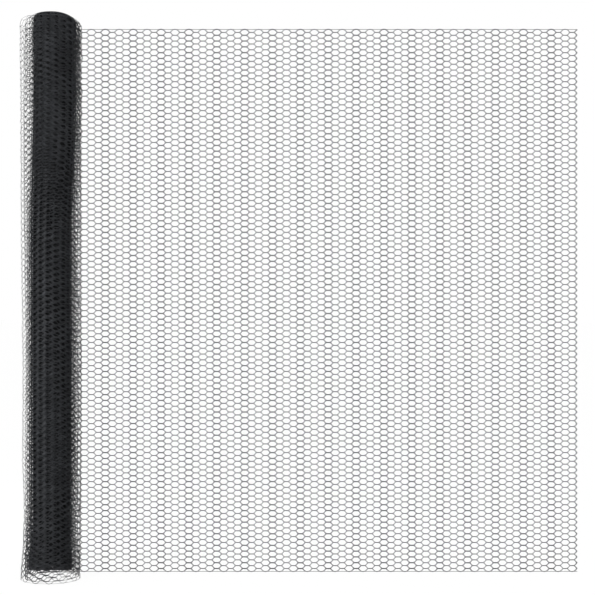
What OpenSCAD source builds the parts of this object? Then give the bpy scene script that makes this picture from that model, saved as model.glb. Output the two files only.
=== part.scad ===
// Roll of chicken wire: hexagonal wire netting with a dark plastic coat.
// The roll stands on its end. Its inner turns are wound tight round a bore, its outer
// turns have sprung open, and a flat length has been drawn out from the outermost one.

/* [Netting] */
// Width of the netting from selvedge to selvedge, which is the height of the roll
netting_w = 1200; // [300:10:1800]
// Thickness of one coated wire
wire_d = 1.2; // [0.8:0.1:2]
// Thickness of each selvedge, the straight edge wire with the mesh wound round it
selvedge_d = 3; // [2:0.1:6]

/* [Tight turns] */
// Diameter of the bore
bore_d = 30; // [20:1:120]
// Number of tight turns
tight_count = 25; // [8:1:80]
// Radial room that each tight turn takes, with the meshes nested in each other
turn_pitch = 1.25; // [0.8:0.05:4]
// How far the tight turns have slid up past the slack ones
tight_lift = 20; // [4:1:60]
// How much narrower winding has pulled the netting in the tight turns
tight_narrowing = 9; // [0:1:40]
// How much further up the innermost tight turn stands than the outermost one
telescope = 6; // [0:1:40]
// Depth of the groove between neighbouring turns on the ends
turn_groove = 1; // [0.4:0.1:3]

/* [Slack turns] */
// Number of whole slack turns, after the half turn that lies on the tight ones
slack_count = 2; // [1:1:4]
// Radial room that each slack turn takes
slack_pitch = 9.6; // [6:0.1:30]
// Gap between the tight turns and the slack half turn that lies on them
seat_gap = 0.3; // [0.1:0.05:0.6]

/* [Flat run] */
// Length drawn out flat, from where it leaves the roll to its cut end
run_l = 1149; // [200:1:3000]
// Openings across the flat run, a coarse grid that stands for its far finer mesh
opening_rows = 12; // [4:1:12]
// Width of the strips of netting between the openings
strip_w = 10; // [4:0.5:16]

/* [Hidden] */
$fn = 96;
coat_colour = [0.17, 0.17, 0.18];
half_turn_angle = 180;
quarter_turn_angle = 90;

// Two wires twisted together make the netting's thickest places
netting_t = 2 * wire_d;

// Half the width of a selvedge, and of each of its eight flats
selvedge_r = selvedge_d / 2;
flat_half_angle = 22.5;
selvedge_flat = selvedge_r * tan(flat_half_angle);

bore_r = bore_d / 2;
tight_r = bore_r + tight_count * turn_pitch;
tight_w = netting_w - tight_narrowing;

// Each half turn is wider than the next one in by half of the slack pitch
half_turns = 2 * slack_count + 1;
slack_step = slack_pitch / 2;
seated_r = tight_r + seat_gap + selvedge_r;
outer_r = seated_r + (half_turns - 1) * slack_step;

// The openings follow the mesh's own pattern. They are six-sided, and stand in columns, each
// half an opening higher than the one before. A level strip divides an opening from the one
// above it, as a twist of two wires divides the meshes.
opening_pitch = (netting_w - selvedge_d) / opening_rows;
opening_columns = max(1, min(opening_rows, round(run_l / opening_pitch)));
column_pitch = run_l / opening_columns;
level_share = 0.58;
level_l = level_share * column_pitch;
slope_angle = atan2(opening_pitch / 2, column_pitch - level_l);
opening_top = (opening_pitch - strip_w) / 2;
opening_tip = column_pitch - level_l / 2 - strip_w / 2 / sin(slope_angle);
opening_corner = opening_tip - opening_top / tan(slope_angle);

// The footprint runs from the outermost slack turn to the cut end
roll_reach = outer_r + selvedge_r;
footprint_mid = (run_l - roll_reach) / 2;

function turn_r(k) = bore_r + k * turn_pitch;
function turn_lift(k) = tight_lift + telescope * (1 - k / tight_count);
function half_turn_r(k) = outer_r - k * slack_step;
function column_x(column) = (column + 1 / 2) * column_pitch;
function opening_z(column, row) = selvedge_r + (row + (column % 2) / 2) * opening_pitch;

// Moves a shape drawn round the roll's axis so that the footprint's middle is the origin
module in_frame() {
  translate([-footprint_mid, 0, 0]) children();
}

// A selvedge cut across, standing on one of its eight flats
module selvedge_section() {
  polygon([
    [selvedge_flat, 0],
    [selvedge_r, selvedge_r - selvedge_flat],
    [selvedge_r, selvedge_r + selvedge_flat],
    [selvedge_flat, selvedge_d],
    [-selvedge_flat, selvedge_d],
    [-selvedge_r, selvedge_r + selvedge_flat],
    [-selvedge_r, selvedge_r - selvedge_flat],
    [-selvedge_flat, 0]
  ]);
}

// Both selvedges cut across, the width of the netting apart
module selvedge_sections() {
  selvedge_section();
  translate([0, netting_w - selvedge_d]) selvedge_section();
}

// The netting cut across: a flat web with a thicker selvedge along each edge
module netting_section() {
  translate([-netting_t / 2, selvedge_r]) square([netting_t, netting_w - selvedge_d]);
  selvedge_sections();
}

// The edges of the tight turns at one end of the roll, from the bore outwards:
// each turn comes to a ridge, with a groove between it and the next one
function end_ridges(height, groove) = [
  for (half = [0 : 2 * tight_count])
    [turn_r(half / 2), height + turn_lift(half / 2) + (half % 2 == 0 ? groove : 0)]
];

function reversed(points) = [for (i = [len(points) - 1 : -1 : 0]) points[i]];

module tight_turns() {
  color(coat_colour)
    in_frame()
      rotate_extrude()
        polygon(concat(
          end_ridges(0, turn_groove),
          reversed(end_ridges(tight_w, -turn_groove))
        ));
}

// Half turn number k, counted from the outermost one inwards. The left-hand ones, which
// are the even ones, are centred on the roll's axis, and the right-hand ones lie a step
// nearer the front, so that each half turn runs smoothly into the next.
module slack_half_turn(k) {
  left_hand = k % 2 == 0;
  translate([0, left_hand ? 0 : -slack_step, 0])
    rotate_extrude(angle = half_turn_angle, start = left_hand ? quarter_turn_angle : -quarter_turn_angle)
      translate([half_turn_r(k), 0])
        netting_section();
}

module slack_turns() {
  color(coat_colour)
    in_frame()
      for (k = [0 : half_turns - 1])
        slack_half_turn(k);
}

// One opening, drawn round its middle
module opening() {
  polygon([
    [opening_tip, 0],
    [opening_corner, opening_top],
    [-opening_corner, opening_top],
    [-opening_tip, 0],
    [-opening_corner, -opening_top],
    [opening_corner, -opening_top]
  ]);
}

// A strip of the web between the selvedges, seen from the front
module web_strip(length) {
  translate([0, selvedge_r]) square([length, netting_w - selvedge_d]);
}

// The flat run's web, seen from the front. Every other column starts and ends in half an
// opening at the selvedges. The last columns break out through the cut end, where they leave
// the web in points, and the web is closed where it leaves the roll.
module open_web() {
  difference() {
    web_strip(run_l);
    for (column = [0 : opening_columns])
      for (row = [0 : opening_rows - column % 2])
        translate([column_x(column), opening_z(column, row)]) opening();
  }
  web_strip(strip_w);
}

// The flat length leaves the back of the outermost half turn along its tangent
module flat_run() {
  color(coat_colour)
    in_frame()
      translate([0, outer_r, 0]) {
        rotate([quarter_turn_angle, 0, 0])
          linear_extrude(height = netting_t, center = true)
            open_web();
        rotate([quarter_turn_angle, 0, quarter_turn_angle])
          linear_extrude(height = run_l)
            selvedge_sections();
      }
}

tight_turns();
slack_turns();
flat_run();
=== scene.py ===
import math

import bpy
import numpy as np
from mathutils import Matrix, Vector


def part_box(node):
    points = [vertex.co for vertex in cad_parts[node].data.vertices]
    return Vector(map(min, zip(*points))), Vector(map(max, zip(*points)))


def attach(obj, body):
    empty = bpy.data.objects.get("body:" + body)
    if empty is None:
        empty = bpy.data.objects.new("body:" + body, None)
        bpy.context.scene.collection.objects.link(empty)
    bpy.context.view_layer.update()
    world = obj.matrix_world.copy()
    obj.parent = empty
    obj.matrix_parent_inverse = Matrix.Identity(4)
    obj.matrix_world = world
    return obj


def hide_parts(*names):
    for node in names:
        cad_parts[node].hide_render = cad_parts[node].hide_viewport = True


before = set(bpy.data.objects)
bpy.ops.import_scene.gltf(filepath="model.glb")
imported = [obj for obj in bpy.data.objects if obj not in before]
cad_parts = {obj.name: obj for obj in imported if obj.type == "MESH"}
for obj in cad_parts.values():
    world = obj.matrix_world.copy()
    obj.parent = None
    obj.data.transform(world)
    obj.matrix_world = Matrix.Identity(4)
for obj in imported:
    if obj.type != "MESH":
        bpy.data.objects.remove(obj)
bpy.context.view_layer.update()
tightLow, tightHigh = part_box("tight_turns")
runLow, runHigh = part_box("flat_run")
print("frame loaded")

# The netting as it lies flat: u runs from the cut end towards the roll, v from the lower
# selvedge to the upper one, and n out of the netting, to the outside of the roll.
netting = {
    "halfRows": 187,           # half meshes from selvedge to selvedge
    "column": 0.015393,        # from one column of twists to the next
    "twist": 0.0096,           # length of a twist
    "twistPoints": 5,          # along each of its two wires
    "firstTwist": 0.0116,      # from the cut end to the middle of the first column
    "sides": 3,                # of a mesh wire, which is less than a pixel thick
    "roundness": 0.605,        # corner radius that gives such a wire its mean thickness
    "tightTurns": 2,           # tight turns that the wire takes to reach its thickness further in
    "tightWire": 0.00135,      # which is this
    # thickness in the flat run, in the middle of each slack half turn and where the tight turns start
    "wire": (0.00155, 0.0004, 0.00085, 0.00065, 0.0013, 0.00068, 0.0010),
    # in the same places, how far a twisted wire swings, as a share of its thickness
    "swing": (0.16, 0.7, 0.6, 0.7, 0.7, 0.4, 0.16),
    # and how far the meshes are pulled askew, and out of the netting
    "shake": (0.00006, 0.0002, 0.0004, 0.0003, 0.0012, 0.0003, 0.0002),
    "spring": (0.0001, 0.0005, 0.0006, 0.0006, 0.0016, 0.0006, 0.0003),
    "seed": 5,
    "heavy": (4, 3, 0.35),     # which columns of the flat run have thicker wire, and how much
    "heavyFade": (0.35, 0.85),     # over this share of a column to each side
    "footGain": 0.9,           # how much thicker the slack turns' wires are at the foot
    "footHeights": (0.04, 0.22),
    "footOnset": 0.1,          # the length past the flat run in which that sets in
    "footFront": 0.7,          # the share of it at the front
    "footTurn": 1.2,           # and how fast that grows round to the left
    "footSides": (0.0, 1.05),      # from the least share to the most
    "selvedgeWire": 0.0011,
    "selvedgeShare": 0.75,     # in the roll, as a share of the mesh wire
    "selvedgeSides": 6,
    "wrapR": 0.0006,           # of the mesh wire round the selvedge wire
}
nettingWidth = runHigh.z - runLow.z
selvedgeV = netting["wrapR"] + netting["wire"][0] / 2
rowStep = (nettingWidth - 2 * selvedgeV) / netting["halfRows"]

# The path of the netting: flat, then inwards round the slack turns and the tight ones
path = {
    "halfTurns": 5,            # slack half turns, the innermost one lying on the tight turns
    "stand": 0.0016,           # how far the first tight turn stands off
    "seat": 0.0002,            # and the slack half turn on it
    "loose": 0.0045,           # how far the first of the tight turns stand off the rest
    "looseTurns": 3,
    "nestedTurns": 8,          # outer tight turns, whose meshes lie in each other
    "nestedPitch": 0.0005,
    "nestedColumns": 18.062,   # columns to a nested turn, so that each shifts a little on the next
    "turnPitch": 0.00125,      # radial room of the other tight turns
    "boreR": 0.0156,
    "leastR": 0.001,           # for points past the end of the path
}
axisX = (tightLow.x + tightHigh.x) / 2
runY = (runLow.y + runHigh.y) / 2
runLength = runHigh.x - axisX
tightR = (tightHigh.y - tightLow.y) / 2 + path["stand"]
denseR = tightR - path["loose"]
nestedR = denseR - (path["nestedTurns"] - path["looseTurns"]) * path["nestedPitch"]
halfTurnStep = (runY - tightR - path["seat"]) / (path["halfTurns"] - 1)
halfTurnR = runY - halfTurnStep * np.arange(path["halfTurns"])
halfTurnEndR = np.append(halfTurnR[:-1], tightR)     # the last one closes in on the tight turns
halfTurnLength = math.pi * (halfTurnR + halfTurnEndR) / 2
halfTurnStart = runLength + np.append(0, np.cumsum(halfTurnLength))
tightStart = halfTurnStart[-1]
nestedLength = path["nestedColumns"] * netting["column"]
nestedEnd = tightStart + path["nestedTurns"] * nestedLength
pathEnd = nestedEnd + math.pi * (nestedR ** 2 - path["boreR"] ** 2) / path["turnPitch"]
columnCount = int((pathEnd - netting["firstTwist"]) / netting["column"])
waverSize = (3, netting["halfRows"] + 1, columnCount + 2)     # along u, v and n, by line and column
waver = np.random.default_rng(netting["seed"]).normal(size=waverSize)

# How the roll departs from true turns, fitted to the photograph
form = {
    "loosening": 0.09,         # the length past the flat run in which the netting comes loose
    "slackCrest": 0.006,       # the slack turns' upper edge: higher at the front
    "slackDip": 0.0075,        # and lower at the sides
    "slackBend": (8, 2),       # how late it falls, at the front and at the back
    "footLift": 0.017,         # how far the tight turns have slid up
    "footArch": 0.009,         # and how much further at the front
    "topLift": 0.0145,
    "topDrop": 0.0140,         # the upper end falls to the right
    "topBend": 4.2,
    "topShoulder": 0.007,      # and a little to the left
    "topFrom": 0.45,           # both from this far left of the axis, as a share of the radius
    "nestedRise": 0.00038,     # how far each nested turn stands above the next one out
    "telescope": 0.003,
    "aside": 0.0007,           # the tight turns stand to the left in the slack ones
    "lean": 0.0080,            # and their top leans to the right
    "leanFrom": (0.72, 1.05),
    "flare": 0.0016,
    "footLean": 0.0022,
    "footFlare": 0.003,
    "footFrom": (0.02, 0.09),
    "bunching": (2, 4),        # how late the slack turns lean, and how much earlier on the right
    "bulges": (                # to the left or right: side, depth, radius and spread
        (-1, 0.0042, 0.0485, 0.0028),
        (1, 0.0042, 0.0480, 0.0030),
        (1, -0.0020, 0.0425, 0.0030),
        (1, 0.0047, 0.0530, 0.0020),
    ),
    "waistHold": 0.6,          # how much less the second slack turn is drawn in
    "waists": (                # of the slack turns: side, depth, height and spread
        (-1, 0.0065, 0.13, 0.10),
        (-1, 0.0065, 0.45, 0.25),
        (1, 0.0055, 1.14, 0.12),
    ),
    "slew": 0.057,             # how far each nested turn is slewed round at the top, in radians
    "slewFrom": (0.67, 0.97),
    "squeeze": 0.026,          # and, all the way up, how much further on the right than at the front
    "climb": (0, 0, 0, 0.0032, 0.0064, 0.0096, 0.0128),    # of the rows, in the places that wire has
    "climbFrom": (0.01, 0.25),     # the distances from a selvedge in which it sets in
    "waves": (                 # of the slack turns: depth, how fast along u and z, and phase
        (0.0006, 59, 5, 0),
        (0.0006, 24, -9, 1),
    ),
}


def smooth(low, high, values):
    share = np.clip((values - low) / (high - low), 0, 1)
    return share * share * (3 - 2 * share)


def aroundRoll(u):
    # centre, radius and angle of the path at u, the nested turns wound by there, and their rise
    k = np.clip(np.searchsorted(halfTurnStart, u, side="right") - 1, 0, path["halfTurns"] - 1)
    share = (u - halfTurnStart[k]) / halfTurnLength[k]
    radius = halfTurnR[k] + (halfTurnEndR[k] - halfTurnR[k]) * share
    angle = math.pi * (0.5 + k + share)
    nested = np.clip((u - tightStart) / nestedLength, 0, path["nestedTurns"])
    left = nestedR ** 2 - np.maximum(u - nestedEnd, 0) * path["turnPitch"] / math.pi
    deepR = np.sqrt(np.maximum(left, path["leastR"] ** 2))
    deep = (nestedR - deepR) / path["turnPitch"]
    wound = u > tightStart
    looseness = np.maximum(0, 1 - nested / path["looseTurns"])
    nestedIn = np.maximum(0, nested - path["looseTurns"]) * path["nestedPitch"]
    woundR = denseR + path["loose"] * looseness ** 2 - nestedIn + deepR - nestedR
    radius = np.where(wound, woundR, radius)
    angle = np.where(wound, math.pi * (0.5 + path["halfTurns"] + 2 * (nested + deep)), angle)
    centreY = np.where(wound | (k % 2 == 0), 0, -halfTurnStep)
    rise = nested * form["nestedRise"] + form["telescope"] * (nestedR - deepR) / nestedR
    return centreY, radius, angle, nested, np.where(wound, rise, 0)


def alongPath(values, u):
    # blends values for the flat run, each slack half turn and the first tight turn
    return np.interp(u, [runLength, *(halfTurnStart[:-1] + halfTurnLength / 2), tightStart], values)


def place(u, v, n):
    # points of the netting in the row frame, and the directions out of it there
    flat = u < runLength
    centreY, radius, angle, nested, rise = aroundRoll(u)
    slew = form["slew"] * smooth(*form["slewFrom"], v) + form["squeeze"] * np.cos(angle)
    angle = angle + slew * nested
    cosine = np.cos(angle)
    sine = np.sin(angle)
    inward = np.where(flat, 0, smooth(halfTurnStart[2], tightStart, u))
    loose = np.where(flat, 0, smooth(runLength, runLength + form["loosening"], u)) * (1 - inward)
    aside = np.abs(cosine)
    frontBend, backBend = form["slackBend"]
    crest = form["slackCrest"] - (form["slackCrest"] + form["slackDip"]) * aside ** frontBend
    slackTop = np.where(sine < 0, crest, -form["slackDip"] * aside ** backBend)
    front = np.maximum(0, -radius * sine / tightR)
    foot = form["footLift"] + form["footArch"] * front + rise
    rightward = radius * cosine / tightR
    falling = np.maximum(0, (rightward + form["topFrom"]) / (1 + form["topFrom"]))
    shoulder = np.maximum(0, (-rightward - form["topFrom"]) / (1 - form["topFrom"]))
    top = form["topLift"] - form["topDrop"] * falling ** form["topBend"] + rise
    top = top - form["topShoulder"] * shoulder ** 2
    share = v / nettingWidth
    z = v + share * (loose * slackTop + inward * top) + (1 - share) * inward ** 2 * foot
    fromEdge = np.minimum(v, nettingWidth - v)
    z = z + alongPath(form["climb"], u) * smooth(*form["climbFrom"], fromEdge)
    frontPower, sideChange = form["bunching"]
    leaning = inward ** (frontPower * sideChange ** -cosine)
    high = smooth(*form["leanFrom"], z)
    low = 1 - smooth(*form["footFrom"], z)
    lean = form["lean"] * high - form["footLean"] * low - form["aside"]
    reach = radius + n + leaning * (form["flare"] * high + form["footFlare"] * low)
    for side, depth, bulgeR, spread in form["bulges"]:
        facing = np.maximum(0, side * cosine)
        reach = reach + depth * facing * np.exp(-((radius - bulgeR) / spread) ** 2)
    drawn = loose * (1 - form["waistHold"] * smooth(halfTurnStart[1], halfTurnStart[2], u))
    for side, depth, height, spread in form["waists"]:
        facing = np.maximum(0, side * cosine)
        reach = reach - drawn * depth * facing * np.exp(-((z - height) / spread) ** 2)
    for depth, alongU, alongZ, phase in form["waves"]:
        reach = reach + loose * depth * np.sin(alongU * u + alongZ * z + phase)
    x = np.where(flat, runHigh.x - u, axisX + reach * cosine + leaning * lean)
    y = np.where(flat, runY + n, centreY + reach * sine)
    outX = np.where(flat, 0, cosine)
    outY = np.where(flat, 1, sine)
    return np.stack([x, y, z], -1), np.stack([outX, outY, np.zeros_like(u)], -1)


def wireAt(u):
    further = smooth(tightStart, tightStart + netting["tightTurns"] * nestedLength, u)
    return alongPath(netting["wire"], u) * (1 - further) + netting["tightWire"] * further


def unit(vectors):
    return vectors / np.linalg.norm(vectors, axis=-1, keepdims=True)


def crossways(points, out):
    # directions across and out of each row of points
    steps = unit(np.diff(points, axis=1))
    along = unit(np.concatenate([steps[:, :1], steps[:, :-1] + steps[:, 1:], steps[:, -1:]], 1))
    across = unit(np.cross(along, out))
    return across, np.cross(across, along)


def tubes(points, out, radius, sides):
    # one closed tube along each row of points, as corners, four-cornered faces and end faces
    count, length = points.shape[:2]
    across, up = crossways(points, out)
    turn = 2 * math.pi * np.arange(sides)[:, None] / sides
    spread = up[:, :, None] * np.cos(turn) + across[:, :, None] * np.sin(turn)
    rings = points[:, :, None] + radius[:, :, None, None] * spread
    index = np.arange(count * length * sides).reshape(count, length, sides)
    following = np.roll(index, -1, axis=2)
    quads = np.stack([index[:, :-1], index[:, 1:], following[:, 1:], following[:, :-1]], -1)
    ends = np.concatenate([index[:, 0], index[:, -1, ::-1]])
    return rings.reshape(-1, 3), quads.reshape(-1, 4), ends


def ribbons(points, out, radius):
    # one flat band along each row of points, for wires that show only through other turns
    count, length = points.shape[:2]
    across = crossways(points, out)[0] * radius[:, :, None]
    edges = np.stack([points - across, points + across], 2)
    index = np.arange(count * length * 2).reshape(count, length, 2)
    quads = np.stack([index[:, :-1, 0], index[:, 1:, 0], index[:, 1:, 1], index[:, :-1, 1]], -1)
    return edges.reshape(-1, 3), quads.reshape(-1, 4)


def meshFrom(name, parts):
    # one mesh of several groups of corners and faces
    mesh = bpy.data.meshes.new(name)
    corners, loops, starts, used, loopCount = [], [], [], 0, 0
    for points, *faceSets in parts:
        corners.append(points)
        for faces in faceSets:
            loops.append((faces + used).ravel())
            starts.append(loopCount + faces.shape[1] * np.arange(len(faces)))
            loopCount += faces.size
        used += len(points)
    corners = np.concatenate(corners)
    starts = np.concatenate(starts)
    mesh.vertices.add(used)
    mesh.vertices.foreach_set("co", corners.astype(np.float32).ravel())
    mesh.loops.add(loopCount)
    mesh.loops.foreach_set("vertex_index", np.concatenate(loops).astype(np.int32))
    mesh.polygons.add(len(starts))
    mesh.polygons.foreach_set("loop_start", starts.astype(np.int32))
    mesh.update(calc_edges=True)
    mesh.validate()
    mesh.shade_smooth()
    return mesh


def strands(first, last, rows, twisted):
    # u, v and n along the wires of these rows, from one column of twists to another.
    # A wire is twisted with the wire above it in one column and with the one below in the next.
    turn = np.linspace(0, 1, netting["twistPoints"]) if twisted else np.array([0, 1])
    rows = np.asarray(rows)[:, None]

    def stretch(columns, turns):
        rising = (rows + columns) % 2 == 0
        line = np.where(rising, rows, rows + 1)
        edge = (line == 0) | (line == netting["halfRows"])
        middle = netting["firstTwist"] + columns * netting["column"]
        swing = np.where(edge, netting["wrapR"], alongPath(netting["swing"], middle) * wireAt(middle))
        side = (np.where(rising, 1, -1) * swing)[:, :, None]
        askew = waver[:, line, columns + 1] * ~edge
        shake = alongPath(netting["shake"], middle)
        spring = alongPath(netting["spring"], middle)
        phase = 2 * math.pi * turns
        u = (middle + askew[0] * shake)[:, :, None] + (turns - 0.5) * netting["twist"]
        v = (selvedgeV + line * rowStep + askew[1] * shake)[:, :, None] + side * np.cos(phase)
        n = (askew[2] * spring)[:, :, None] + side * np.sin(phase)
        return [a.reshape(len(rows), -1) for a in (u, v, n)]

    pieces = [stretch(np.arange(first, last), turn), stretch(np.array([last]), np.array([0]))]
    if first == 0:
        stub = stretch(np.array([-1]), np.array([0, 1]))      # the cut ends, past the last meshes
        stub[0][:, 0] = 0
        pieces.insert(0, stub)
    return [np.concatenate(group, 1) for group in zip(*pieces)]


def wires(first, last, rows, twisted):
    u, v, n = strands(first, last, rows, twisted)
    slackness = smooth(runLength, runLength + netting["footOnset"], u)
    slackness = slackness * (1 - smooth(halfTurnStart[3], halfTurnStart[4], u))
    leftward = netting["footFront"] - netting["footTurn"] * np.cos(aroundRoll(u)[2])
    thicker = netting["footGain"] * slackness * np.clip(leftward, *netting["footSides"])
    gain = 1 + thicker * (1 - smooth(*netting["footHeights"], v))
    every, number, heavier = netting["heavy"]
    column = (u - netting["firstTwist"]) / netting["column"] - number
    away = np.abs((column + every / 2) % every - every / 2)
    gain = gain + heavier * (u < runLength) * (1 - smooth(*netting["heavyFade"], away))
    return tubes(*place(u, v, n), wireAt(u) * gain * netting["roundness"], netting["sides"])


def bands(first, last, rows):
    u, v, n = strands(first, last, rows, False)
    return ribbons(*place(u, v, n), wireAt(u) / 2)


def selvedges(start, end, step):
    u = np.linspace(start, end, 2 + int((end - start) / step))
    u = np.stack([u, u])
    v = np.array([[selvedgeV], [nettingWidth - selvedgeV]]) + 0 * u
    thick = np.where(u < runLength, netting["selvedgeWire"], wireAt(u) * netting["selvedgeShare"])
    return tubes(*place(u, v, 0 * u), thick / 2, netting["selvedgeSides"])


class Socket:
    # a node's output, with the arithmetic that the finishes use
    def __init__(self, tree, socket):
        self.tree = tree
        self.socket = socket

    def math(self, operation, first, second):
        return self.tree.add("ShaderNodeMath", {"operation": operation}, {0: first, 1: second})[0]

    def __add__(self, other):
        return self.math("ADD", self, other)

    def __radd__(self, other):
        return self.math("ADD", other, self)

    def __mul__(self, other):
        return self.math("MULTIPLY", self, other)

    def __rmul__(self, other):
        return self.math("MULTIPLY", other, self)


class Tree:
    # the nodes of one material or of the world
    def __init__(self, owner):
        owner.use_nodes = True
        self.tree = owner.node_tree
        self.tree.nodes.clear()

    def add(self, kind, settings=None, sockets=None):
        # a node with these settings and sockets, as its outputs by name and by place
        node = self.tree.nodes.new(kind)
        for name, value in (settings or {}).items():
            setattr(node, name, value)
        for name, value in (sockets or {}).items():
            if isinstance(value, Socket):
                self.tree.links.new(value.socket, node.inputs[name])
            else:
                node.inputs[name].default_value = value
        outputs = {output.name: Socket(self, output) for output in node.outputs if output.enabled}
        return outputs | dict(enumerate(outputs.values()))

    def blend(self, factor, first, second):
        colours = {0: factor, 6: (*first, 1), 7: (*second, 1)}
        return self.add("ShaderNodeMix", {"data_type": "RGBA"}, colours)[0]


coat = {
    "dark": (0.0305, 0.0323, 0.0357),      # the plastic where it is clean
    "dusty": (0.0600, 0.0632, 0.0690),     # and where handling has dulled it
    "paintedShadeDark": (0.0115, 0.0119, 0.0127),      # painted shade: the clean and the dulled plastic darkened for the wound turns deep in, where little light gets down
    "paintedShadeDusty": (0.0160, 0.0165, 0.0175),
    "roughness": 0.55,
    "roughnessSpread": 0.16,   # how much rougher it is where it is dulled
    "gloss": 0.18,
    # painted shade: less gloss on the wound turns deep in
    "paintedShadeGloss": 0.02,
    "patches": 38,             # how fine the dulled patches are
    "patchDetail": 3,
    "patchShare": 0.8,         # of the patches in what is dulled, with the grain for the rest
    "dulled": (0.38, 0.66),    # from where it starts to where it is full
    "grain": 1400,
    "grainDetail": 2,
    "grainBump": 0.4,
    "grainDepth": 0.00003,
}


def coatedWire(name, dark, dusty, gloss):
    material = bpy.data.materials.new(name)
    tree = Tree(material)
    spot = tree.add("ShaderNodeTexCoord")["Object"]

    def noise(scale, detail):
        sockets = {"Vector": spot, "Scale": scale, "Detail": detail}
        return tree.add("ShaderNodeTexNoise", None, sockets)[0]

    patch = noise(coat["patches"], coat["patchDetail"])
    grain = noise(coat["grain"], coat["grainDetail"])
    low, high = coat["dulled"]
    mottle = patch * coat["patchShare"] + grain * (1 - coat["patchShare"])
    dull = tree.add(
        "ShaderNodeMapRange",
        {"interpolation_type": "SMOOTHSTEP"},
        {"Value": mottle, "From Min": low, "From Max": high},
    )[0]
    bump = tree.add("ShaderNodeBump", None, {
        "Height": grain,
        "Strength": coat["grainBump"],
        "Distance": coat["grainDepth"],
    })
    shader = tree.add("ShaderNodeBsdfPrincipled", None, {
        "Base Color": tree.blend(dull, dark, dusty),
        "Roughness": coat["roughness"] + coat["roughnessSpread"] * dull,
        "Specular IOR Level": gloss,
        "Normal": bump["Normal"],
    })
    tree.add("ShaderNodeOutputMaterial", None, {"Surface": shader["BSDF"]})
    return material


coatFinish = coatedWire("coated_wire", coat["dark"], coat["dusty"], coat["gloss"])
# a copy of the coated wire with painted shade: darker and with less gloss, for the turns deep in the
# roll
paintedShadeFinish = coatedWire("coated_wire_painted_shade", coat["paintedShadeDark"], coat["paintedShadeDusty"], coat["paintedShadeGloss"])


def addPiece(name, parts, node, finish=coatFinish):
    piece = bpy.data.objects.new(name, meshFrom(name, parts))
    bpy.context.scene.collection.objects.link(piece)
    piece.data.materials.append(finish)
    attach(piece, "root")
    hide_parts(node)
    piece.data.calc_loop_triangles()
    print(name, len(piece.data.loop_triangles), "triangles")


def columnAt(u):
    return round((u - netting["firstTwist"]) / netting["column"])


allRows = np.arange(netting["halfRows"])

# The flat run, in lengths that keep each mesh a fair size
flatRun = {"lengths": 3, "edgeSteps": 2}      # steps of its selvedges to a column
runColumns = columnAt(runLength)
cuts = np.linspace(0, runColumns, flatRun["lengths"] + 1).astype(int)
for number, (first, last) in enumerate(zip(cuts[:-1], cuts[1:])):
    edges = netting["firstTwist"] + netting["column"] * np.array([first, last])
    start = 0 if first == 0 else edges[0]
    edgeStep = netting["column"] / flatRun["edgeSteps"]
    mesh = wires(first, last, allRows, True)
    addPiece(f"flat_run_{number + 1}", [mesh, selvedges(start, edges[1], edgeStep)], "flat_run")

# The slack turns: the outermost one, and those between it and the tight turns
slack = {"edgeStep": 0.004}
outerColumns = columnAt(halfTurnStart[2])
slackColumns = columnAt(tightStart)
for name, first, last, twisted in (
    ("slack_turn_outer", runColumns, outerColumns, True),
    ("slack_turns_inner", outerColumns, slackColumns, False),
):
    edges = netting["firstTwist"] + netting["column"] * np.array([first, last])
    mesh = wires(first, last, allRows, twisted)
    addPiece(name, [mesh, selvedges(*edges, slack["edgeStep"])], "slack_turns")

# The tight turns: whole outer turns and a whole innermost one, with the turns between them
# whole only near the ends, where they show, and as a wound web further in, coloured with painted
# shade
tight = {
    "wholeTurns": 3,
    "endRows": 6,              # half meshes that are whole at each end of the turns further in
    "edgeStep": 0.004,
    "web": 0.0006,             # thickness of the wound web
    "webFrom": 0.01,           # how far it stays from the lower edge of the netting
    "webTo": 0.003,            # and from the upper one
    "webStep": 0.01,
    "webRows": 14,
}


def woundWeb(start, end):
    # a closed sheet along the spiral, up its outer face and down its inner one
    u = np.linspace(start, end, int((end - start) / tight["webStep"]))
    heights = np.linspace(tight["webFrom"], nettingWidth - tight["webTo"], tight["webRows"])
    ring = [(v, tight["web"] / 2) for v in heights] + [(v, -tight["web"] / 2) for v in heights[::-1]]
    corners = np.stack([place(u, 0 * u + v, 0 * u + n)[0] for v, n in ring], 1)
    index = np.arange(len(u) * len(ring)).reshape(len(u), len(ring))
    following = np.roll(index, -1, axis=1)
    quads = np.stack([index[:-1], index[1:], following[1:], following[:-1]], -1).reshape(-1, 4)
    return corners.reshape(-1, 3), quads, np.stack([index[0], index[-1, ::-1]])


lastTurn = pathEnd - 2 * math.pi * (path["boreR"] + path["turnPitch"] / 2)
wholeColumns = columnAt(tightStart + tight["wholeTurns"] * nestedLength)
nestedColumns = columnAt(nestedEnd)
innerColumns = columnAt(lastTurn)
midRows = allRows[tight["endRows"]:-tight["endRows"]]
endRows = np.setdiff1d(allRows, midRows)
addPiece("tight_turns_outside", [wires(slackColumns, wholeColumns, allRows, False)], "tight_turns")
addPiece("tight_turns_nested", [bands(wholeColumns, nestedColumns, midRows)], "tight_turns")
addPiece(
    "tight_turns_ends",
    [
        wires(wholeColumns, innerColumns, endRows, False),
        selvedges(tightStart, pathEnd, tight["edgeStep"]),
    ],
    "tight_turns",
)
addPiece("tight_turns_inside", [wires(innerColumns, columnCount - 1, allRows, False)], "tight_turns")
# the wound web stands for the turns deep in the roll and is coloured with painted shade
addPiece("tight_turns_web", [woundWeb(nestedEnd, lastTurn)], "tight_turns", paintedShadeFinish)

# A white floor that keeps the roll's shadow, and a white backdrop
stage = {
    "floor": 60.0,
    "floorColour": 0.82,       # that lights the roll from below
    "white": 0.955,            # that the camera sees
    "shade": 0.09,             # how much of the light and shadow on the floor shows in that
    "light": 0.45,             # from the backdrop
}


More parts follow.
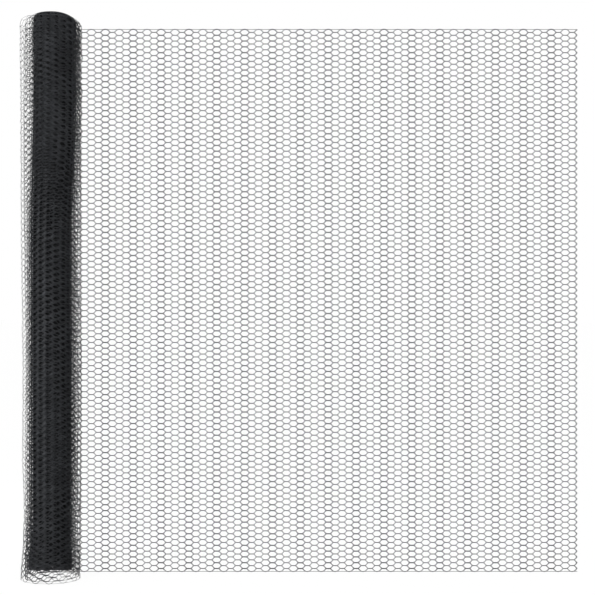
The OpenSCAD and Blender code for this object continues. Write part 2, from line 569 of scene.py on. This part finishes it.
def whiteFloor():
    size = stage["floor"] / 2
    corners = [(-size, -size, 0), (size, -size, 0), (size, size, 0), (-size, size, 0)]
    mesh = bpy.data.meshes.new("floor")
    mesh.from_pydata(corners, [], [(0, 1, 2, 3)])
    floor = bpy.data.objects.new("floor", mesh)
    bpy.context.scene.collection.objects.link(floor)
    material = bpy.data.materials.new("floor_white")
    tree = Tree(material)
    ray = tree.add("ShaderNodeLightPath")
    lit = tree.add("ShaderNodeBsdfDiffuse", None, {"Color": (*[stage["floorColour"]] * 3, 1)})
    shade = tree.add("ShaderNodeBsdfDiffuse", None, {"Color": (*[stage["shade"]] * 3, 1)})
    white = tree.add("ShaderNodeEmission", None, {"Color": (1, 1, 1, 1), "Strength": stage["white"]})
    shown = tree.add("ShaderNodeAddShader", None, {0: shade["BSDF"], 1: white["Emission"]})
    seen = ray["Is Camera Ray"] + ray["Is Glossy Ray"] + ray["Is Transmission Ray"]
    mixed = tree.add("ShaderNodeMixShader", None, {0: seen, 1: lit["BSDF"], 2: shown["Shader"]})
    tree.add("ShaderNodeOutputMaterial", None, {"Surface": mixed["Shader"]})
    mesh.materials.append(material)


def whiteWorld():
    world = bpy.data.worlds.new("white")
    bpy.context.scene.world = world
    tree = Tree(world)
    ray = tree.add("ShaderNodeLightPath")
    seen = ray["Is Camera Ray"] + ray["Is Glossy Ray"] + ray["Is Transmission Ray"]
    strength = stage["light"] + (1 - stage["light"]) * seen
    background = tree.add("ShaderNodeBackground", None, {"Color": (1, 1, 1, 1), "Strength": strength})
    tree.add("ShaderNodeOutputWorld", None, {"Surface": background["Background"]})


whiteFloor()
whiteWorld()
print("stage set")

# Soft boxes that face the roll: place and size in metres, and power in watts
lamps = {
    "key": {"at": (-2.4, -2.6, 0.45), "size": 1.8, "power": 114},
    "fill": {"at": (2.6, -3.0, 0.8), "size": 2.2, "power": 40},
}
aim = Vector((axisX, 0, nettingWidth / 2))
for name, lamp in lamps.items():
    light = bpy.data.lights.new(name, "AREA")
    light.shape = "SQUARE"
    light.size = lamp["size"]
    light.energy = lamp["power"]
    holder = bpy.data.objects.new(name, light)
    bpy.context.scene.collection.objects.link(holder)
    holder.location = lamp["at"]
    holder.rotation_euler = (aim - holder.location).to_track_quat("-Z", "Y").to_euler()

# The camera looks straight at the flat run, whose top and cut end fix the photograph's framing
view = {
    "distance": 3.0,
    "sensor": 36.0,
    "image": 595,
    "pixelsPerMetre": 452.56,      # at the flat run
    "runEndPixel": 577.3,
    "runTopPixel": 28.9,
}
lens = bpy.data.cameras.new("camera")
lens.sensor_width = view["sensor"]
focalPixels = view["pixelsPerMetre"] * (view["distance"] + runY)
lens.lens = focalPixels * lens.sensor_width / view["image"]
camera = bpy.data.objects.new("camera", lens)
bpy.context.scene.collection.objects.link(camera)
middlePixel = view["image"] / 2
camera.location = (
    runHigh.x - (view["runEndPixel"] - middlePixel) / view["pixelsPerMetre"],
    -view["distance"],
    runHigh.z - (middlePixel - view["runTopPixel"]) / view["pixelsPerMetre"],
)
camera.rotation_euler = (math.pi / 2, 0, 0)
bpy.context.scene.camera = camera
bpy.context.scene.view_settings.view_transform = "Standard"
print("camera and lamps set")
